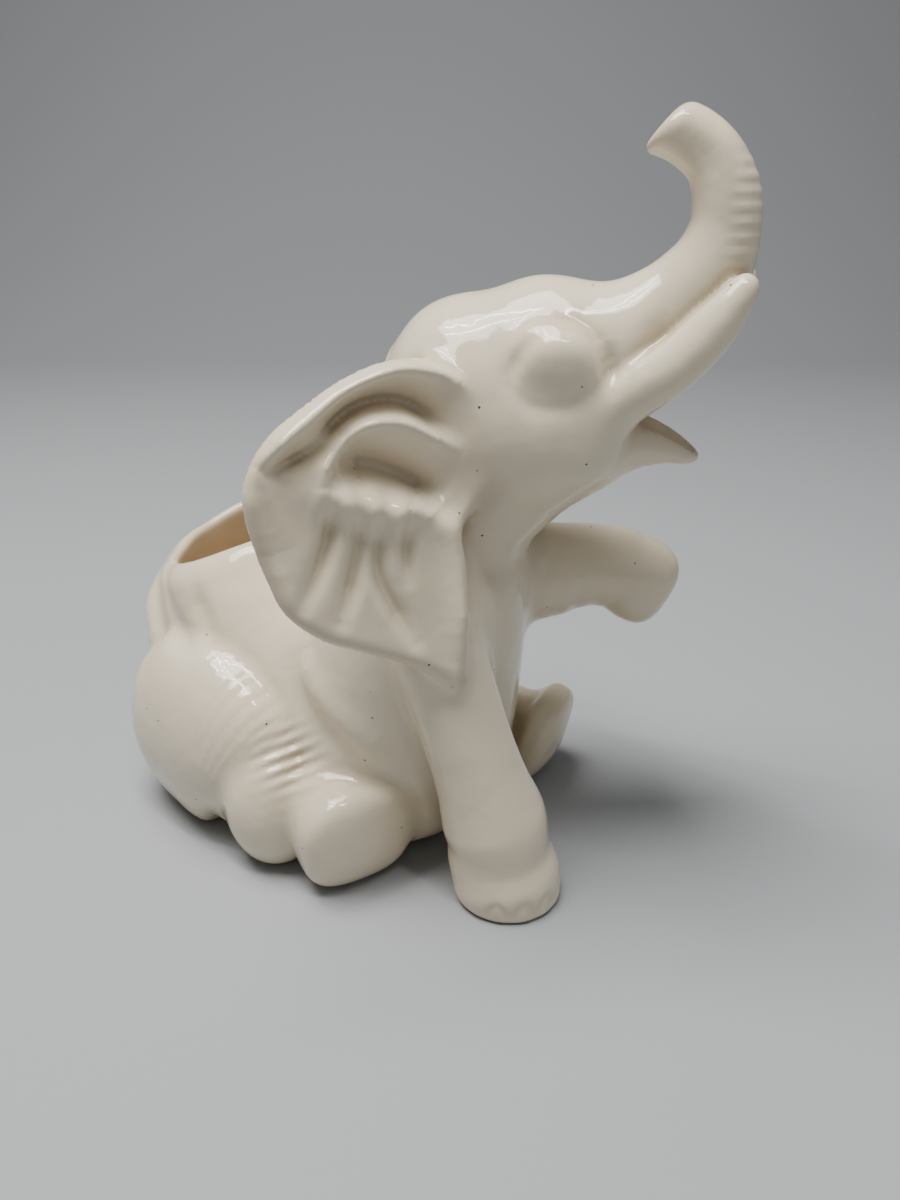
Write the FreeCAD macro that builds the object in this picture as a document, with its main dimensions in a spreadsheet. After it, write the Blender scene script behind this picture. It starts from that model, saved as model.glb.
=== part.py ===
"""Seated baby elephant planter: slip-cast ceramic pieces luted together with slip under one glaze.

Frame: millimetres, +X to the elephant's front, +Y to its left, +Z up, with the origin at the centre of
the flat seat face that it stands on.  The head pieces share a head frame, set on the neck and turned
to the left by head_turn.  Every form is a loft through oval or round sections; a piece that meets
another is cut back by that one's form grown by the slip layer, so a seam follows whatever its two
pieces' sizes are.
"""

import FreeCAD, Part
import os

# Sizes that belong to no single section: name, value, what it is.
SINGLE_SIZES = [
    ("wall", 4, "thickness of the cast wall and of the floor"),
    ("slip", 0.2, "luting layer between two pieces"),
    ("neck_height", 108, "seam between torso and head"),
    ("neck_fore", 39, "centre of the neck at the seam, forward of the seat centre"),
    ("neck_side", 4.2, "centre of the neck at the seam, left of the middle"),
    ("neck_radius", 21, "radius of the neck at the seam"),
    ("crest_rise", 20, "how far the neck runs on up inside the skull"),
    ("head_turn", 25, "turn of the head to its left, degrees"),
    ("rim_height", 85, "height of the planter's rim"),
    ("raise_turn", 44, "direction of the raised foreleg, degrees to the left"),
    ("dip_fore", -38.5, "where the rim starts to dip, forward of the seat centre"),
    ("dip_side", 0, "where the rim starts to dip, left of the middle"),
    ("dip_turn", 220, "direction in which the rim dips, degrees to the left of the front"),
    ("dip_lean", 24, "how steeply the rim dips, degrees"),
]

ROUND = None  # a section with one radius
FIELDS = ("fore", "side", "height", "long", "short", "lean", "turn")

# Sections: name, then fore, side and height of the centre, half length and half width (or ROUND), lean
# of the section's normal from upright towards the front and its turn to the left, degrees.  Text in
# place of a number is worked out from sizes that pieces share.
BARREL = [
    ("seat", -14, 0, 0, 46, 37, 0, 0),
    ("base", -16, 0, 8, 54, 43, 0, 0),
    ("haunch", -18, 0, 30, 56, 45, 0, 0),
    ("waist", -27, 0, 55, 50, 41, 0, 0),
    ("shoulder", -36, -2, 72, 37, ROUND, 0, 0),
    ("rim", -43, -4, "Sizes.rim_height", 28.5, ROUND, 0, 0),
]
CHEST = [
    ("belly", 10, 0, 10, 33, ROUND, 0, 0),
    ("flank", 15, 0, 32, 35, ROUND, 0, 0),
    ("breast", 19, 0, 58, 34, ROUND, 0, 0),
    ("withers", 26, 1, 84, 29, ROUND, 0, 0),
    ("neck", "Sizes.neck_fore", "Sizes.neck_side", "Sizes.neck_height", "Sizes.neck_radius", ROUND, 0, 0),
    ("crest", 44, 6.2, "Sizes.neck_height + Sizes.crest_rise", 15, ROUND, 0, 0),
]
PLANTED = [
    ("top", 40, -16, 88, 12, ROUND, 0, 0),
    ("elbow", 50, -18.5, 66, 12, ROUND, 0, 0),
    ("wrist", 59.5, -16.5, 40, 12.2, ROUND, 0, 0),
    ("ankle", 64, -14, 22, 14.3, ROUND, 0, 0),
    ("foot", 67.5, -12.5, 8, 15.3, ROUND, 0, 0),
    ("sole", 68, -12, 0, 12.8, ROUND, 0, 0),
]
RAISED = [
    ("top", 24, 10, 78, 16, ROUND, 90, "Sizes.raise_turn"),
    ("elbow", 45, 30.5, 79.5, 15, ROUND, 90, "Sizes.raise_turn"),
    ("wrist", 57, 42, 81, 12.2, ROUND, 92, "Sizes.raise_turn"),
    ("foot", 65, 49.5, 78, 13.5, ROUND, 95, "Sizes.raise_turn"),
    ("sole", 74, 58.5, 77.5, 9.5, ROUND, 95, "Sizes.raise_turn"),
]
THIGH = [
    ("rump", -57, -32, 30, 16, 12, 90, -20),
    ("hip", -42, -37, 31, 25, 18, 90, -10),
    ("middle", -22, -39, 33, 30, 19, 90, 0),
    ("knee", -2, -40, 26, 25, 17, 90, 0),
    ("crease", 10, -39, 19, 17, 13, 90, 0),
]
HIND_FOOT = [
    ("hock", -4, -38, 18, 18, 15, 90, 0),
    ("ankle", 8, -38, 16.5, 17.5, ROUND, 90, -8),
    ("heel", 19, -37.5, 15.5, 16.3, ROUND, 90, -16),
    ("pad", 27, -37, 16.3, 17.3, ROUND, 90, -22),
    ("sole", 32, -36.5, 16.6, 15.5, ROUND, 90, -25),
]
FAR_FOOT = [
    ("hock", -4, 38, 18, 18, 15, 90, 0),
    ("ankle", 10, 38.5, 17, 17.5, ROUND, 90, 6),
    ("heel", 26, 40, 15.5, 15.5, ROUND, 92, 12),
    ("pad", 36, 41.5, 16.5, 16.5, ROUND, 100, 18),
    ("sole", 42.5, 42.5, 16.5, 15, ROUND, 105, 20),
]
TAIL = [
    ("root", -60, -6, 74, 5, ROUND, 180, 0),
    ("middle", -72, -13, 60, 6, ROUND, 180, 0),
    ("tip", -66, -30, 46, 5, ROUND, 180, 0),
]
# Sections in the head frame, whose origin is the centre of the neck seam.
SKULL = [
    ("nape", -19, 0, 28, 10, 7.5, 90, 0),
    ("poll", -14, 0, 26, 21, 17, 90, 0),
    ("crown", -4, 0, 24, 27, 22, 90, 0),
    ("temple", 10, 0, 26, 30, 24.5, 90, 0),
    ("brow", 24, 0, 28, 30, 23, 90, 0),
    ("muzzle", 35, 0, 37.5, 19.3, 16.5, 90, 0),
    ("lip", 43, 0, 43, 13.5, ROUND, 90, 0),
]
TRUNK = [
    ("root", 30, 0, 40, 15.5, ROUND, 75, 0),
    ("bridge", 40, 0, 45.5, 13.5, ROUND, 62, 0),
    ("rise", 49.5, 0, 51.5, 11, ROUND, 46, 0),
    ("bend", 56.3, 0, 60.3, 9.6, ROUND, 22, 0),
    ("middle", 58.3, 0, 69.5, 7.9, ROUND, 0, 0),
    ("curl", 56.4, 0, 79, 6.4, ROUND, -35, 0),
    ("turn_back", 50.5, 0, 86.5, 5.6, ROUND, -75, 0),
    ("tip", 41, 0, 86, 5, ROUND, -97, 0),
]
JAW = [
    ("root", 19, 0, 9, 12.5, ROUND, 90, 0),
    ("cheek", 30, 0, 14.5, 12.5, 10.2, 90, 0),
    ("chin", 42, 0, 18, 9.5, 7.2, 90, 0),
    ("tip", 56.5, 0, 15.3, 3.5, 1.8, 90, 0),
]
TUSK = [
    ("root", 32, -12, 26, 6, ROUND, 60, 0),
    ("collar", 42, -13.5, 32.5, 5.7, ROUND, 55, 0),
    ("middle", 51, -13, 39, 5.2, ROUND, 48, 3),
    ("taper", 59.5, -11.8, 48.6, 4.4, ROUND, 36, 5),
    ("tip", 64.8, -10.5, 57.5, 2, ROUND, 28, 5),
]
EAR = [
    ("fold", -10, -24, 41, 10, 3, 0, 37),
    ("top", -14, -30, 33, 17, 5, 0, 37),
    ("widest", -16, -36, 20, 25, 5.5, 0, 37),
    ("middle", -18, -42, 5, 24, 5, 0, 37),
    ("lower", -11, -42, -12, 20, 5, 0, 37),
    ("lobe", -5, -41, -22, 14, 4.5, 0, 37),
    ("tip", 3, -37.5, -34, 4, 3, 0, 37),
]
FORMS = {
    "barrel": BARREL,
    "chest": CHEST,
    "planted": PLANTED,
    "raised": RAISED,
    "thigh": THIGH,
    "hind_foot": HIND_FOOT,
    "far_foot": FAR_FOOT,
    "tail": TAIL,
    "skull": SKULL,
    "trunk": TRUNK,
    "jaw": JAW,
    "tusk": TUSK,
    "ear": EAR,
}
HEAD_FORMS = ("skull", "trunk", "jaw", "tusk", "ear")
SIDEWAYS = ("jaw",)  # forms whose sections are longer from side to side
BLOCK = 300  # side of the blocks that cut at the ground and at the neck seam

NODES = (
    "torso", "head", "trunk", "lower_jaw", "right_tusk", "left_tusk", "right_ear", "left_ear",
    "right_foreleg", "left_foreleg", "right_hind_leg", "left_hind_leg", "tail",
)

doc = FreeCAD.newDocument("ElephantPlanter")
sheet = doc.addObject("Spreadsheet::Sheet", "Sizes")


def fill_sheet():
    """One row for each size: its name, the plain number and what it is."""
    rows = list(SINGLE_SIZES)
    for form, sections in FORMS.items():
        for name, *numbers in sections:
            for field, number in zip(FIELDS, numbers):
                if isinstance(number, (int, float)):
                    rows.append((f"{form}_{name}_{field}", number, f"{field} of the {form}'s {name}"))
    for row, (alias, number, note) in enumerate(rows, start=1):
        sheet.set(f"A{row}", alias)
        sheet.set(f"B{row}", str(number))
        sheet.set(f"C{row}", note)
        sheet.setAlias(f"B{row}", alias)


def section_curve(form, section, grow, suffix, lift="0"):
    """One flat section, grown outwards by grow, its centre lifted by lift."""
    name, *values = section
    size = {
        field: value if isinstance(value, str) else f"Sizes.{form}_{name}_{field}"
        for field, value in zip(FIELDS, values)
    }
    is_round = section[FIELDS.index("short") + 1] is ROUND
    curve = doc.addObject("Part::Circle" if is_round else "Part::Ellipse", f"{form}_{name}{suffix}")
    if is_round:
        curve.setExpression("Radius", f"{size['long']} + {grow}")
    else:
        curve.setExpression("MajorRadius", f"{size['long']} + {grow}")
        curve.setExpression("MinorRadius", f"{size['short']} + {grow}")
    roll = 90 if form in SIDEWAYS else 0
    place = (
        f"placement(vector({size['fore']}; {size['side']}; {size['height']} + {lift}); "
        f"rotation({size['turn']}; {size['lean']}; 0)) * placement(vector(0; 0; 0); rotation({roll}; 0; 0))"
    )
    if form in HEAD_FORMS:
        place = (
            "placement(vector(Sizes.neck_fore; Sizes.neck_side; Sizes.neck_height); "
            "rotation(Sizes.head_turn; 0; 0)) * " + place
        )
    curve.setExpression("Placement", place)
    return curve


def loft(form, grow="0", suffix="", lift_first="0"):
    """A solid through all the sections of a form."""
    solid = doc.addObject("Part::Loft", f"{form}_form{suffix}")
    solid.Sections = [
        section_curve(form, section, grow, suffix, "0" if number else lift_first)
        for number, section in enumerate(FORMS[form])
    ]
    solid.Solid = True
    return solid


def fuse(name, shapes):
    """The union of several forms."""
    union = doc.addObject("Part::MultiFuse", name)
    union.Shapes = shapes
    return union


def cut(name, base, tools):
    """A form cut back by each of the tools in turn."""
    for number, tool in enumerate(tools, start=1):
        last = number == len(tools)
        piece = doc.addObject("Part::Cut", name if last else f"{name}_cut_{number}")
        piece.Base = base
        piece.Tool = tool
        base = piece
    return base


def mirror(name, source, in_head=False):
    """A form mirrored to the left side, across the elephant's or the head's middle plane."""
    twin = doc.addObject("Part::Mirroring", name)
    twin.Source = source
    twin.Normal = FreeCAD.Vector(0, 1, 0)
    if in_head:
        twin.setExpression("Normal", "vector(-sin(Sizes.head_turn); cos(Sizes.head_turn); 0)")
        twin.setExpression("Base", "vector(Sizes.neck_fore; Sizes.neck_side; 0)")
    return twin


def block(name, place, start=-BLOCK / 2):
    """A large block standing on a plane given by an expression, from start along that plane's own X."""
    box = doc.addObject("Part::Box", name)
    box.Length = box.Width = box.Height = BLOCK
    box.setExpression("Placement", f"{place} * placement(vector({start}; {-BLOCK / 2}; 0); rotation(0; 0; 0))")
    return box


def level(height):
    """A level plane at a height, as an expression."""
    return f"placement(vector(0; 0; {height}); rotation(0; 0; 0))"


fill_sheet()
doc.recompute()

GROWN = "Sizes.slip"
INSIDE = "-Sizes.wall"
ground = block("ground", level(f"-{BLOCK}"))
above_neck = block("above_neck", level("Sizes.neck_height"))
below_neck = block("below_neck", level(f"Sizes.neck_height - {BLOCK}"))
above_dip = block(
    "above_dip",
    "placement(vector(Sizes.dip_fore; Sizes.dip_side; Sizes.rim_height); "
    "rotation(Sizes.dip_turn; Sizes.dip_lean; 0))",
    start=0,
)

# Torso: the barrel of the planter and the chest, hollow, open through the neck and at the rim, which
# dips towards the back and the right.
chest_form = loft("chest")
chest_inside = loft("chest", INSIDE, "_inside")
barrel_inside = loft("barrel", INSIDE, "_inside", lift_first="Sizes.wall")
torso_outside = fuse("torso_outside", [loft("barrel"), chest_form])
cut("torso", torso_outside, [above_neck, above_dip, barrel_inside, chest_inside])
barrel_grown = loft("barrel", GROWN, "_grown")
chest_grown = loft("chest", GROWN, "_grown")

# Head: the skull over the top of the neck, hollow, open at the neck.
head_outside = fuse("head_outside", [loft("skull"), chest_form])
cut("head", head_outside, [below_neck, loft("skull", INSIDE, "_inside"), chest_inside])
skull_grown = loft("skull", GROWN, "_grown")

# Face pieces: trunk, lower jaw and tusks, luted to the skull.
trunk_form = loft("trunk")
trunk_grown = loft("trunk", GROWN, "_grown")
tusk_form = loft("tusk")
cut("trunk", trunk_form, [skull_grown])
cut("lower_jaw", loft("jaw"), [fuse("throat_grown", [skull_grown, chest_grown])])
cut("right_tusk", tusk_form, [skull_grown, trunk_grown])
cut("left_tusk", mirror("tusk_form_left", tusk_form, in_head=True), [skull_grown, trunk_grown])

# Forelegs: the right one planted, the left one raised, both luted to the chest.
cut("right_foreleg", loft("planted"), [chest_grown])
cut("left_foreleg", loft("raised"), [chest_grown])

# Ears, hanging from the sides of the skull past the shoulders.
ear_form = loft("ear")
planted_grown = loft("planted", GROWN, "_grown")
raised_grown = loft("raised", GROWN, "_grown")
cut("right_ear", ear_form, [skull_grown, chest_grown, planted_grown])
cut("left_ear", mirror("ear_form_left", ear_form, in_head=True), [skull_grown, chest_grown, raised_grown])

# Hind legs, stretched forward along the ground, and the tail laid down the rump.
thigh_form = loft("thigh")
hind_form = fuse("hind_form", [thigh_form, loft("hind_foot")])
hind_form_left = fuse("hind_form_left", [mirror("thigh_form_left", thigh_form), loft("far_foot")])
cut("right_hind_leg", hind_form, [ground, barrel_grown, chest_grown])
cut("left_hind_leg", hind_form_left, [barrel_grown, chest_grown, ground])
cut("tail", loft("tail"), [barrel_grown, loft("thigh", GROWN, "_grown")])

doc.recompute()
for item in doc.Objects:
    if "Invalid" in item.State or "Error" in item.State:
        raise RuntimeError(f"{item.Name} failed: {item.State}")
shapes = {node: doc.getObject(node).Shape for node in NODES}
for node, shape in shapes.items():
    if shape.isNull() or not shape.isValid():
        raise RuntimeError(f"{node} has no valid shape")
os.makedirs("parts", exist_ok=True)
for node, shape in shapes.items():
    shape.exportStep(os.path.join("parts", f"{node}.step"))
    print(node, [round(solid.Volume) for solid in shape.Solids])
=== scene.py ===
"""Seated baby elephant planter in glazed ceramic, modelled on its CAD frame.

The whole figure is one field: a value for each point of space, below zero in the clay and above zero
outside it, worked out with numpy as whole arrays.  Every sub-part adds forms of its own, soft unions
blend them as slip does, and creases press lines into them.  The field's zero surface becomes one skin,
which is then cut into a closed piece for each CAD node.
"""

import math
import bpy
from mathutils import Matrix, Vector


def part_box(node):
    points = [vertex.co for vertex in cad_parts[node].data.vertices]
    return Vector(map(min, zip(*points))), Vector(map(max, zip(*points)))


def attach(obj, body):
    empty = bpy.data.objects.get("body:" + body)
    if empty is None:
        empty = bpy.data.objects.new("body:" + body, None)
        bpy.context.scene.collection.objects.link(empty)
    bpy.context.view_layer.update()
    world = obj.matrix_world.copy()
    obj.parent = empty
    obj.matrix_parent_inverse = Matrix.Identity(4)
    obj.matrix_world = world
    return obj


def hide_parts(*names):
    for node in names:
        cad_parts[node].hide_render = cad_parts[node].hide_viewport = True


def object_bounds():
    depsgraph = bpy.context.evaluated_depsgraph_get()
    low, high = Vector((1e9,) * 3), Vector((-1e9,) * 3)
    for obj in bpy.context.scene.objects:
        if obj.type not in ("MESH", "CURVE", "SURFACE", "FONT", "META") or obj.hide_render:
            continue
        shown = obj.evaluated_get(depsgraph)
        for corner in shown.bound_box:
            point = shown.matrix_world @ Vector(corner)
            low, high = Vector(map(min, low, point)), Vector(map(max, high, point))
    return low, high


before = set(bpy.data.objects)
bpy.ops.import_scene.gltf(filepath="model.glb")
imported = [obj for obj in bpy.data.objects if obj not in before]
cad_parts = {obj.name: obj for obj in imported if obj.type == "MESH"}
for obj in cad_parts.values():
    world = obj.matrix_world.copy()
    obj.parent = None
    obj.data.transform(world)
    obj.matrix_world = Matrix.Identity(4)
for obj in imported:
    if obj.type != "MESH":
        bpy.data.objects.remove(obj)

from concurrent.futures import ThreadPoolExecutor
from functools import lru_cache

import bpy
import numpy as np
from mathutils import Vector

CAD_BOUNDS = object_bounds()
MM = 0.001

bl_info = {
    "name": "Elephant planter",
    "version": (1, 0, 0),
    "blender": (4, 5, 0),
    "location": "View3D > Sidebar > Elephant",
    "description": "Builds a glazed ceramic elephant planter and a studio stage on its CAD frame",
    "category": "Object",
}

FAR = 60.0  # value of a form well outside its own box, mm


# Fields -----------------------------------------------------------------------------------------

def smooth_min(a, b, k):
    """The lower of two fields, rounded over where they are within k of each other."""
    h = np.maximum(k - np.abs(a - b), 0.0) / k
    return np.minimum(a, b) - h * h * k * 0.25


def smooth_max(a, b, k):
    """The higher of two fields, rounded where they are within k of each other."""
    return -smooth_min(-a, -b, k)


def spline_at(rows, s, closed=False):
    """Catmull-Rom curve through rows at places s, counted in rows: its values and its slopes."""
    rows = np.asarray(rows, float)
    if closed:
        ends = np.vstack([rows[-1:], rows, rows[:2]])
    else:
        ends = np.vstack([2 * rows[0] - rows[1], rows, 2 * rows[-1] - rows[-2]])
    i = np.clip(s.astype(int), 0, len(ends) - 4)
    t = (s - i)[:, None]
    a, b, c, d = ends[i], ends[i + 1], ends[i + 2], ends[i + 3]
    square, cube = 2 * a - 5 * b + 4 * c - d, 3 * b - a - 3 * c + d
    value = 0.5 * (2 * b + (c - a) * t + square * t**2 + cube * t**3)
    return value, 0.5 * (c - a + 2 * square * t + 3 * cube * t**2)


def spline(rows, steps, closed=False):
    """The curve of spline_at as a polyline with so many steps for each row."""
    spans = len(rows) - (0 if closed else 1)
    return spline_at(rows, np.linspace(0, spans, spans * steps + 1), closed)[0]


def near(points, low, high, margin):
    """Which points lie in a box grown by a margin."""
    return np.all((points > low - margin) & (points < high + margin), axis=1)


def along_rail(points, rail, soft=0.0):
    """Where each point lies along a polyline, in spans, and its distance from it.

    Above zero, soft averages places that are nearly as near, which rounds the inside of a bend.
    """
    start, step = rail[:-1], np.diff(rail, axis=0)
    square = np.square(step).sum(1)
    reach = points @ step.T - (start * step).sum(1)
    t = np.clip(reach / square, 0, 1)
    gap = np.square(points).sum(1)[:, None] - 2 * points @ start.T + np.square(start).sum(1)
    gap += t * (t * square - 2 * reach)
    nearest = gap.argmin(1)
    row = np.arange(len(points))
    least = gap[row, nearest]
    if soft:
        weight = np.exp((least[:, None] - gap) / soft**2)
        place = (weight * (t + np.arange(len(step)))).sum(1) / weight.sum(1)
    else:
        place = nearest + t[row, nearest]
    return place, np.sqrt(np.maximum(least, 0))


def oval_distance(u, radii, power=2.0):
    """Signed distance, nearly, to an oval of the given half sizes, squarer as power rises above 2."""
    share = np.abs(u / radii) + 1e-6
    if power == 2.0:
        level = np.sqrt(np.square(share).sum(1))
        slope = np.sqrt(np.square(share / radii).sum(1)) / level
    else:
        level = (share**power).sum(1) ** (1 / power)
        slope = np.sqrt(np.square(share ** (power - 1) / radii).sum(1)) * level ** (1 - power)
    return (level - 1) / slope


LIMB_STEPS = 6  # spans of a limb's polyline for each station
LIMB_SOFT = 3.0  # how far the inside of a limb's bend is rounded, mm
LIMB_MARGIN = 14.0  # how far from a limb its field is worked out, mm


def limb(points, stations, side):
    """A limb: an oval profile carried along a smooth rail, with rounded ends.

    stations: x, y, z, half width along side, half depth across it.
    """
    rail = spline(stations, LIMB_STEPS)
    reach = rail[:, 3:5].max()
    out = np.full(len(points), FAR)
    pick = near(points, rail[:, :3].min(0) - reach, rail[:, :3].max(0) + reach, LIMB_MARGIN)
    if not pick.any():
        return out
    p = points[pick]
    place, _ = along_rail(p, rail[:, :3], LIMB_SOFT)
    mix, run = spline_at(stations, place / LIMB_STEPS)
    run = run[:, :3] / np.linalg.norm(run[:, :3], axis=1)[:, None]
    across = side - (run @ np.asarray(side, float))[:, None] * run
    across /= np.linalg.norm(across, axis=1)[:, None]
    over = np.cross(run, across)
    off = p - mix[:, :3]
    u = np.stack([(off * across).sum(1), (off * over).sum(1), (off * run).sum(1)], axis=1)
    radii = np.stack([mix[:, 3], mix[:, 4], np.minimum(mix[:, 3], mix[:, 4])], axis=1)
    out[pick] = oval_distance(u, radii)
    return out


STACK_STEPS = 12  # spans between two levels when a height is looked up
STACK_EDGE = 4.0  # rounding of a stack's first and last level, mm


def stack(points, axis, levels):
    """A body of oval levels stacked along an axis: place, centre and half size on the other two."""
    levels = np.asarray(levels, float)
    fine = spline(levels, STACK_STEPS)[:, 0]
    h = np.clip(points[:, axis], levels[0, 0], levels[-1, 0])
    rows = spline_at(levels, np.interp(h, fine, np.linspace(0, len(levels) - 1, len(fine))))[0]
    one, two = [k for k in range(3) if k != axis]
    off = np.stack([points[:, one], points[:, two]], 1) - rows[:, 1:3]
    flat = oval_distance(off, rows[:, 3:5])
    low, high = levels[0, 0] - points[:, axis], points[:, axis] - levels[-1, 0]
    return smooth_max(flat, np.maximum(low, high), STACK_EDGE)


def turned(turn, lean=0.0):
    """Axes turned about the vertical and then leaned forward, degrees, as rows."""
    a, b = math.radians(turn), math.radians(lean)
    spin = np.array([[math.cos(a), -math.sin(a), 0], [math.sin(a), math.cos(a), 0], [0, 0, 1]])
    tilt = np.array([[math.cos(b), 0, math.sin(b)], [0, 1, 0], [-math.sin(b), 0, math.cos(b)]])
    return (spin @ tilt).T


def ball(points, centre, radii, turn=0.0, lean=0.0, power=2.0):
    """An oval ball, turned and leaned."""
    local = (points - np.asarray(centre, float)) @ turned(turn, lean).T
    return oval_distance(local, np.asarray(radii, float), power)


LINE_STEPS = 4  # spans of a crease or a ridge for each of its points


def crease(points, line, width, depth):
    """A pressed line: depth times a bell curve of the distance from a smooth line through points."""
    rail = spline(line, LINE_STEPS)
    out = np.zeros(len(points))
    pick = near(points, rail.min(0), rail.max(0), 3 * width)
    if pick.any():
        place, gap = along_rail(points[pick], rail)
        fade = np.minimum(1, 0.25 + np.minimum(place, len(rail) - 1 - place) / 4)
        out[pick] = depth * fade * np.exp(-(gap / width)**2)
    return out


def wrinkles(points, centre, way, spacing, reach, depth):
    """Parallel wrinkles across a direction, fading away from a centre."""
    off = points - np.asarray(centre, float)
    run = off @ (np.asarray(way, float) / np.linalg.norm(way))
    return depth * np.cos(2 * math.pi / spacing * run) * np.exp(-np.square(off).sum(1) / reach**2)


# The elephant, in millimetres: +X front, +Y its left, +Z up ----------------------------------------

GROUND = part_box("torso")[0][2] / MM
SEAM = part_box("torso")[1][2] / MM
HEAD_TURN = 25
NECK = np.array([39.0, 4.2, SEAM])
SIDE = (0, 1, 0)
UP = (0, 0, 1)

# Torso levels: height, centre forward and sideways, half length and half width.
BARREL = [(0, -14, 0, 46, 37), (8, -16, 0, 54, 43), (30, -18, 0, 57, 45), (55, -27, 0, 50, 42),
          (72, -36.5, -2.5, 38, 36.5), (84, -44, -5, 30, 30), (96, -49, -6, 28, 28)]
CHEST = [(0, 8, 0, 26, 27), (10, 11, 0, 33, 33), (32, 16, 0, 35, 35), (58, 20, 0, 34, 34),
         (84, 26, 1, 30, 29), (96, 29, 2, 25, 25), (108, 34, 3, 21, 21), (122, 38, 5, 18, 17)]
RIM = (-44.0, -5.0)  # middle of the rim
SIZES = {"wall": 6.4, "rim": 87.8, "step": 0.9}  # the sizes that the panel sets
DIP = 15.0  # how far the rim drops where its dip is one length away
DIP_WAY = np.array([-0.766, -0.643])  # the level way from the rim's high side to its low side
DIP_LENGTH = 38.5
DIP_LEAD = 10  # how far before the rim's middle the dip starts
DIP_MOST = 1.3  # share of a length at which the dip stops growing
DIP_POWER = 1.4
RIM_EVEN = 0.93  # evens the rim's field, which its dip makes steep
RIM_ROUND = 5.0
CHEST_BLEND = 14.0
WELL_FLOOR_ROUND = 6.0
LIP_ROUND = 4.0
SEAT_ROUND = 2.0

# Limb stations: place, half width along the given side, half depth.
PLANTED = [(38, -14, 92, 13, 13), (45, -18, 78, 12.5, 12.5), (52, -18.5, 62, 12, 12),
           (59.5, -16.5, 40, 12.2, 12.4), (63.5, -14.2, 25, 14.6, 14.4), (65, -13.5, 18, 13.8, 14)]
PLANTED_FOOT = [(64.5, -13.5, 13, 14, 14), (67, -12.5, 6, 15.6, 15.4), (68, -12, 1, 14.6, 14.6)]
RAISED = [(24, 10, 78, 16, 16), (36, 21.5, 79, 15.5, 15), (45, 30.5, 79.5, 14.6, 14.2),
          (54, 39, 81, 12.6, 12.6), (59, 43.8, 80.5, 12.2, 12.2), (62.5, 47, 80, 12.2, 12)]
RAISED_FOOT = ((66.8, 51.3, 76.2), (9, 12.3, 12.7), 44, 28)
FOOT_SQUARE = 2.8  # power of the ovals that make soles, squarer than an ellipse
PLANTED_BLEND, SHANK_BLEND, SOLE_BLEND, FOOT_BLEND = 1.5, 3.0, 5.0, 2.2
THIGH = [(-54, -33, 28, 13, 22), (-43.5, -37, 27.5, 19, 30), (-25, -39.5, 28, 19.5, 33),
         (-12, -40.5, 26, 17.5, 29), (-3, -40.5, 21, 13.5, 22)]
FAR_THIGH = [(x, -y, *rest) for x, y, *rest in THIGH]
SHANK = ((4, -43, 18), (15, 14.5, 20.5))
FOOT = [(12, -38, 18, 12.5, 16), (19, -36.5, 18, 13, 16), (25, -35, 17, 13, 15)]
PAD = ((30.5, -35.7, 15.8), (8, 17, 16.4), -20, 8)
FAR_SHANK = ((8, 42, 15.5), (15, 15, 16.5))
FAR_FOOT = [(15, 40, 14.5, 13, 13.5), (25, 40.5, 14.5, 13, 13.5), (34, 41, 15, 12.5, 13)]
FAR_PAD = ((40.8, 41.5, 15.8), (6.8, 15, 16.4), 15, 19)
TAIL = [(-60, -6, 74, 5, 5), (-69, -14, 64, 7, 6.5), (-66, -26, 56, 7, 6.5), (-57, -34, 50, 5, 5)]

# Head forms, in the head's own axes: forward, left and up from the centre of the neck seam.
SKULL = [(-19, 0, 29, 9, 9), (-12, 0, 27, 18, 19), (-2, 0, 25.5, 23.5, 25.5), (10, 0, 25.5, 24.5, 28.5),
         (22, 0, 27, 22.5, 27.5), (32, 0, 34, 18, 20), (42, 0, 41, 14, 14)]
TRUNK = [(28, 0, 38, 15.5, 15), (40, 0, 44, 13, 12.4), (49.5, 0, 51.5, 11, 11), (56.3, 0, 60.3, 9.6, 9.6),
         (58.4, 0, 69, 8.2, 8), (57.6, 0, 76, 7.6, 7.4), (54.6, 0, 82, 7, 6.7), (50, 0, 86, 6.7, 6.5),
         (45, 0, 88.3, 6.5, 6.2), (39, 0, 89.8, 6.4, 6.1)]
TRUNK_END = ((42.2, 0, 88.3), (-0.76, 0, 0.65))  # a point and the way out of the flat nostril end
TRUNK_END_ROUND = 3.0
TRUNK_CUT_ABOVE = 72  # the end is cut only above this height, clear of the trunk's root
RIB_DEPTH, RIB_SPACING = 0.11, 3.1
RIB_MIDDLE, RIB_REACH = 72, 12  # heights on the trunk that have ribs
RIB_FRONT, RIB_FADE = 58, 4  # ribs grow from here forward, over this length
THROAT = [(8, 0, 4.5, 16, 13.5), (20, 0, 11, 15.5, 12.5), (30, 0, 16, 14, 10)]
JAW = [(22, 0, 12.5, 19, 12), (33, 0, 17, 15.5, 10.5), (43, 0, 18.8, 10.3, 7.5), (51, 0, 17.8, 6.6, 4.7),
       (57, 0, 15.6, 3, 1.9)]
SCOOP = [(36, 0, 29, 9, 7), (44, 0, 26.5, 7.4, 6.2), (51, 0, 22.3, 4.8, 4.2), (57, 0, 18.2, 2, 1.8)]
TONGUE = [(36, 0, 21, 4, 3), (45, 0, 19, 3, 2.4), (52, 0, 17, 1.8, 1.6)]
TUSK = [(31, -12, 26, 8, 8), (42, -13.8, 33.5, 6.8, 6.6), (51, -13.4, 40, 6.2, 6), (59, -12, 49, 5.4, 5.2),
        (64.2, -10.6, 57, 3.5, 3.2)]


def head_point(points):
    """Points in the head frame."""
    return (points - NECK) @ turned(HEAD_TURN).T


def mirrored(points):
    """Points reflected to the other side of the middle plane."""
    return points * np.array([1.0, -1.0, 1.0])


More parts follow.
